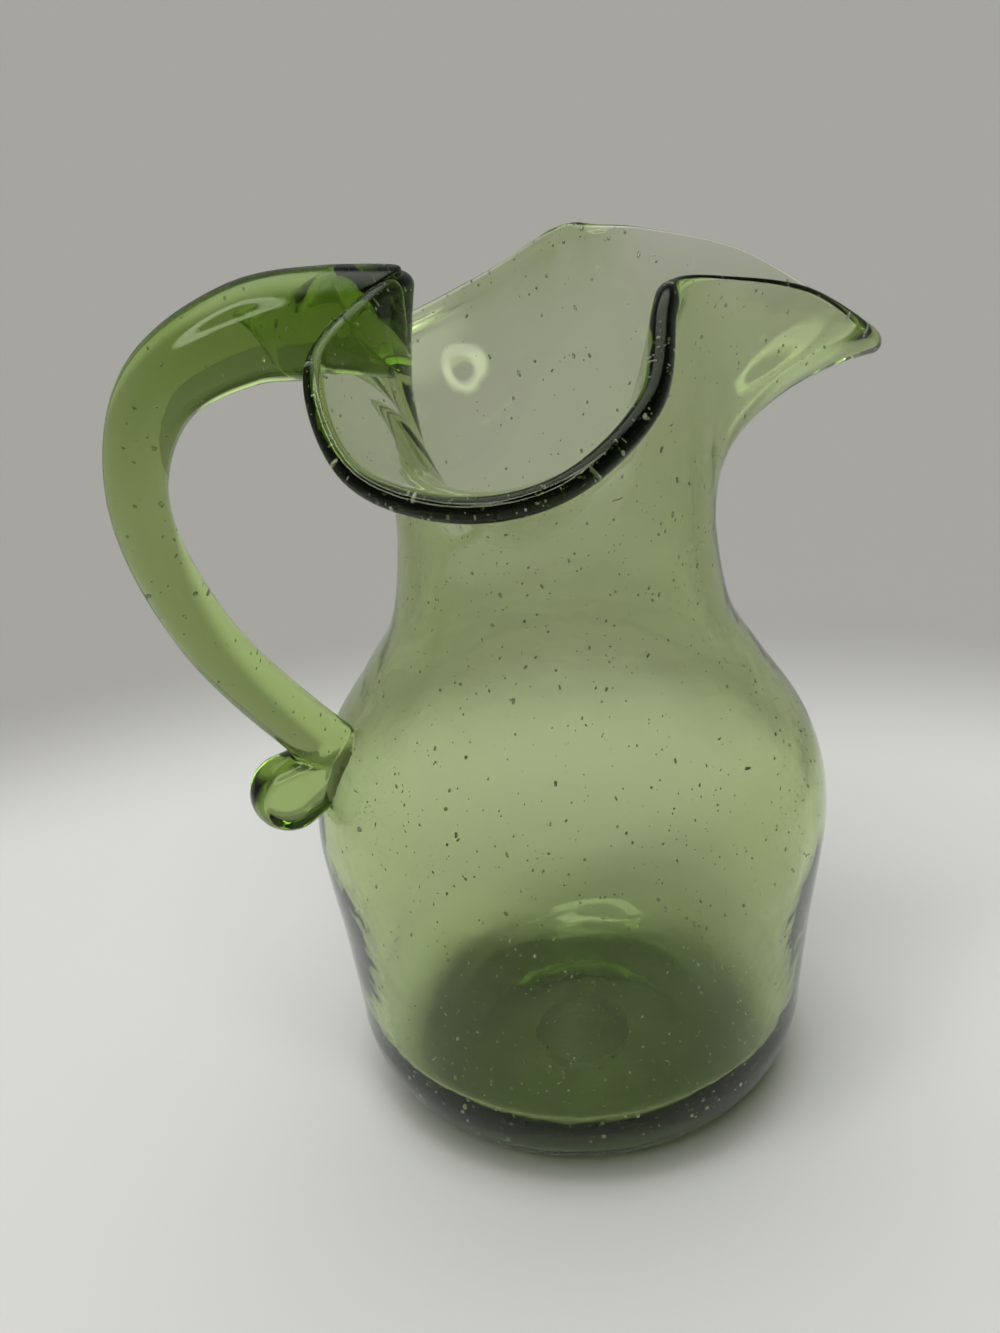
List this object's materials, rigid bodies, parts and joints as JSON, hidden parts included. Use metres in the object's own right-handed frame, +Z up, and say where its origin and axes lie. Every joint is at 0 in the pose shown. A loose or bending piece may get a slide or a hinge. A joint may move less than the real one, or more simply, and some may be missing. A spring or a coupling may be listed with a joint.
{
  "type": "pitcher",
  "caption": "Small hand-blown pitcher in seeded green glass, with a pinched trefoil mouth and an applied loop handle",
  "frame": {"origin": "middle of the foot, on the surface that the pitcher stands on", "axes": "+Z up along the axis of the body, +X to the spout, -X to the handle, XZ is the mirror plane"},
  "size_m": [0.1637, 0.1176, 0.1987],
  "materials": {
    "green_glass": "fire-polished, with fine bubbles in the glass"
  },
  "bodies": {
    "root": {"body": "green_glass", "handle": "green_glass", "pontil_scar": "green_glass"}
  },
  "joints": []
}
